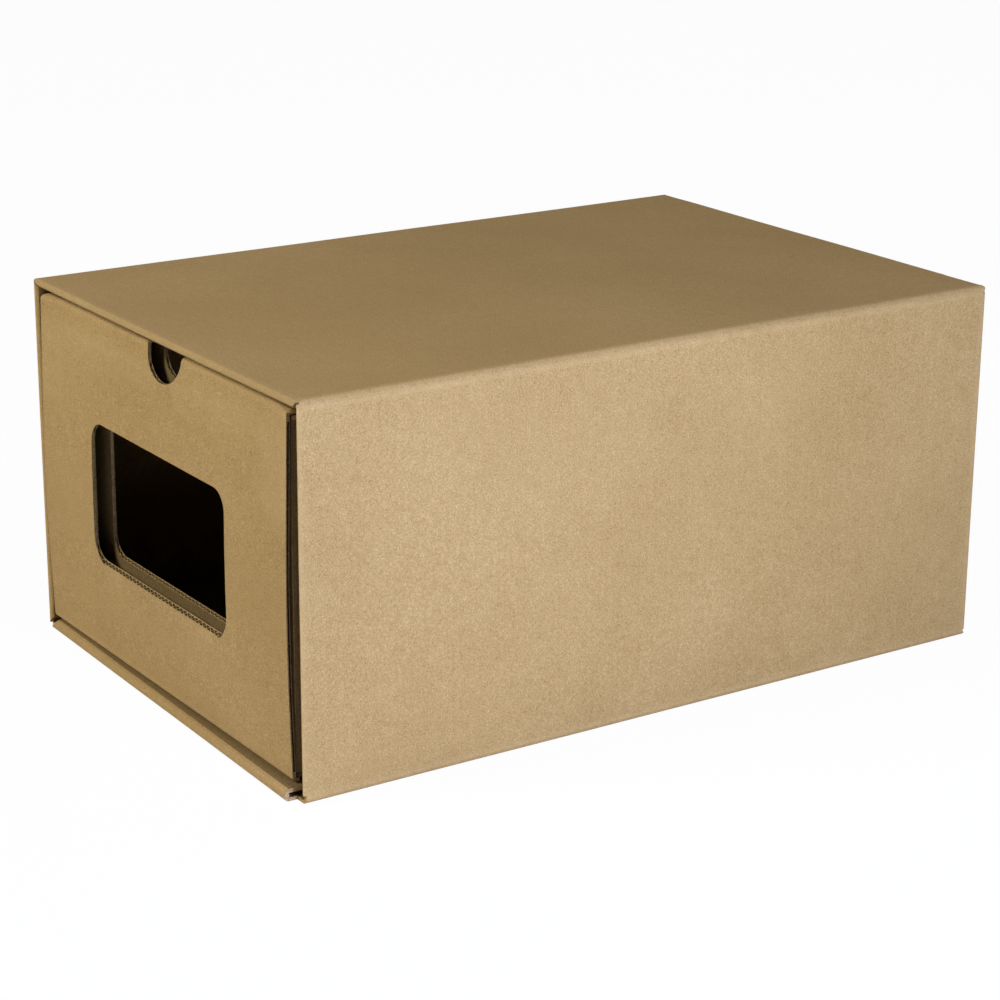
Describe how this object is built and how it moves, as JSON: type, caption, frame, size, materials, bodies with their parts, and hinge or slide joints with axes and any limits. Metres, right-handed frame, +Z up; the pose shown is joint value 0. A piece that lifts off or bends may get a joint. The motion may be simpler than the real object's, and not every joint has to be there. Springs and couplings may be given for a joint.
{
  "type": "drawer storage box",
  "caption": "Corrugated board storage box: a drawer with a window and a finger notch in its hollow front slides out of a closed-back sleeve with rolled front edges.",
  "frame": {"origin": "middle of the sleeve's underside", "axes": "+X to the right of someone facing the drawer, +Y from the drawer front to the closed back, +Z up"},
  "size_m": [0.231, 0.3439, 0.1607],
  "materials": {
    "sleeve_board": "matt brown kraft liner",
    "drawer_board": "matt brown kraft liner"
  },
  "bodies": {
    "sleeve": {"sleeve": "sleeve_board"},
    "drawer": {"drawer": "drawer_board"}
  },
  "joints": [
    {"name": "drawer_slide", "type": "slide", "parent": "sleeve", "child": "drawer", "axis": [0, -1, 0], "range_m": [0, 0.3]}
  ]
}
